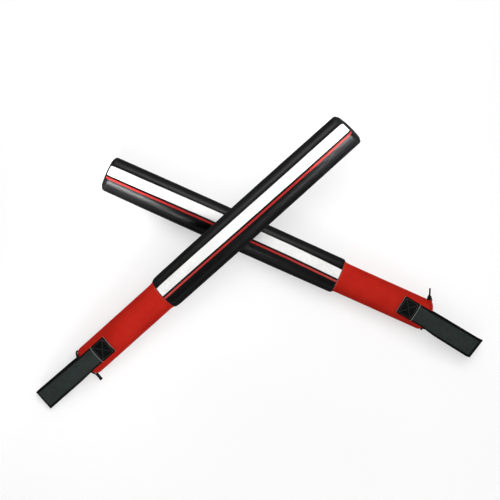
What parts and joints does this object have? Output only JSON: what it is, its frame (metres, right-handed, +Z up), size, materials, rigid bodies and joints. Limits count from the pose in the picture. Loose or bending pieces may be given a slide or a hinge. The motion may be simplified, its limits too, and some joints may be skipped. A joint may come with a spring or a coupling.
{
  "type": "focus training sticks",
  "caption": "Pair of padded coaching sticks for boxing and martial arts, laid crossed, with striped barrels, red grips and webbing wrist loops.",
  "frame": {"origin": "on the floor, on the lower barrel's flattened underside, straight below the crossing of the two sticks' axes", "axes": "+X along the lower stick towards its grip, +Z up from the floor; the upper stick's tip leans towards +X and +Y"},
  "size_m": [0.661, 0.6034, 0.1671],
  "materials": {
    "black_leather": "satin",
    "red_leather": "satin",
    "white_strip": "satin",
    "red_strip": "satin",
    "webbing": "matte",
    "cord": "matte",
    "foam": "matte",
    "core": "satin",
    "plug": "satin"
  },
  "bodies": {
    "lower_stick": {"lower_core_tube": "core", "lower_tip_plug": "plug", "lower_butt_plug": "plug", "lower_pad_foam": "foam", "lower_tip_foam": "foam", "lower_grip_foam": "foam", "lower_pad_cover": "black_leather", "lower_tip_cap": "black_leather", "lower_butt_disc": "black_leather", "lower_top_patch": "black_leather", "lower_bottom_patch": "black_leather", "lower_white_stripe": "white_strip", "lower_red_stripe": "red_strip", "lower_grip_sleeve": "red_leather", "lower_strap_top_leg": "webbing", "lower_strap_bottom_leg": "webbing", "lower_draw_cord": "cord", "lower_cord_knot": "cord"},
    "upper_stick": {"upper_core_tube": "core", "upper_tip_plug": "plug", "upper_butt_plug": "plug", "upper_pad_foam": "foam", "upper_tip_foam": "foam", "upper_grip_foam": "foam", "upper_pad_cover": "black_leather", "upper_tip_cap": "black_leather", "upper_butt_disc": "black_leather", "upper_top_patch": "black_leather", "upper_bottom_patch": "black_leather", "upper_white_stripe": "white_strip", "upper_red_stripe": "red_strip", "upper_grip_sleeve": "red_leather", "upper_strap_top_leg": "webbing", "upper_strap_bottom_leg": "webbing", "upper_draw_cord": "cord", "upper_cord_knot": "cord"},
    "lower_strap": {"lower_strap_loop": "webbing"},
    "upper_strap": {"upper_strap_loop": "webbing"}
  },
  "joints": [
    {"name": "upper_stick_lift", "type": "slide", "parent": "lower_stick", "child": "upper_stick", "axis": [0, 0, 1], "range_m": [0, 0.15]},
    {"name": "lower_strap_swing", "type": "hinge", "parent": "lower_stick", "child": "lower_strap", "pos_m": [0.355, 0, 0.0295], "axis": [0, -0.9945, -0.1045], "range_deg": [-70, 70], "deforming": ["lower_strap_top_leg", "lower_strap_bottom_leg"]},
    {"name": "upper_strap_swing", "type": "hinge", "parent": "upper_stick", "child": "upper_strap", "pos_m": [-0.13688, -0.30601, 0.0242], "axis": [-0.9158, 0.3983, 0.0513], "range_deg": [-70, 70], "deforming": ["upper_strap_top_leg", "upper_strap_bottom_leg"]}
  ]
}
